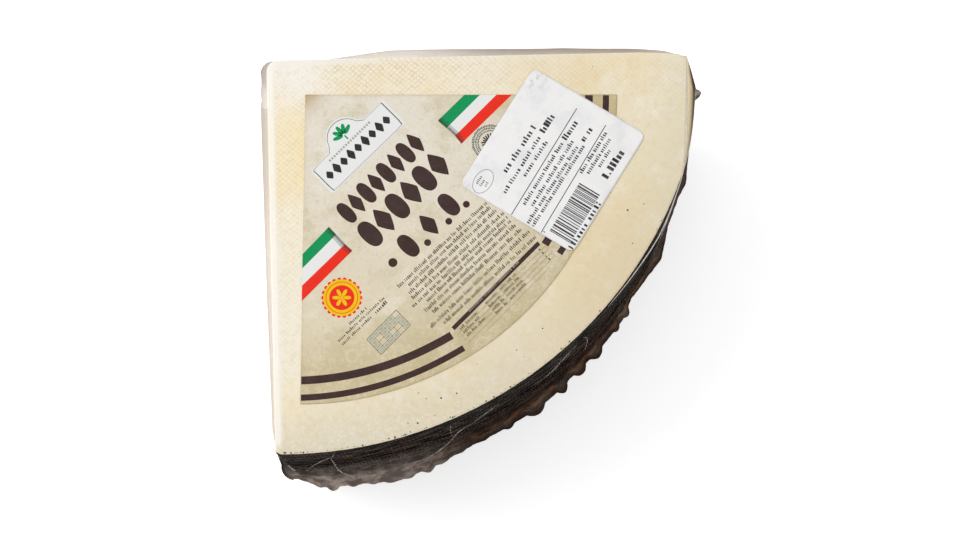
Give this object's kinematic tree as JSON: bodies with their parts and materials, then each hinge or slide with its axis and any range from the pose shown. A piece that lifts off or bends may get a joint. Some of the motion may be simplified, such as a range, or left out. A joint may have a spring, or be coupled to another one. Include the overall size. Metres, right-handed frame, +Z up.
{
  "type": "pecorino romano cheese portion",
  "caption": "Pale hard cheese cut as an eighth of a dark-rinded wheel, sealed in a clear vacuum pouch with a girth hem, a quarter-round paper label and a weigh label on its top face.",
  "frame": {"origin": "middle of the base, under the middle of the whole's outline seen from above", "axes": "+Z up, out of the cut face with the labels; +X along the back cut; the round rind side faces +X and -Y"},
  "size_m": [0.1978, 0.1998, 0.1434],
  "materials": {
    "cheese_paste": "ivory cut paste, slightly mottled, seen through tight film",
    "black_rind": "black coated rind with fine lines",
    "clear_film": "clear glossy pouch film, puckered at its hem",
    "label_paper": "parchment-coloured printed paper",
    "weigh_paper": "smooth white thermal paper",
    "brown_ink": "dark brown print",
    "green_ink": "green print",
    "red_ink": "red print",
    "white_ink": "white print",
    "gold_ink": "warm yellow print",
    "black_ink": "black thermal print"
  },
  "bodies": {
    "root": {"sealed_cheese": "cheese_paste", "front_label": "label_paper", "weigh_label": "weigh_paper"}
  },
  "joints": []
}
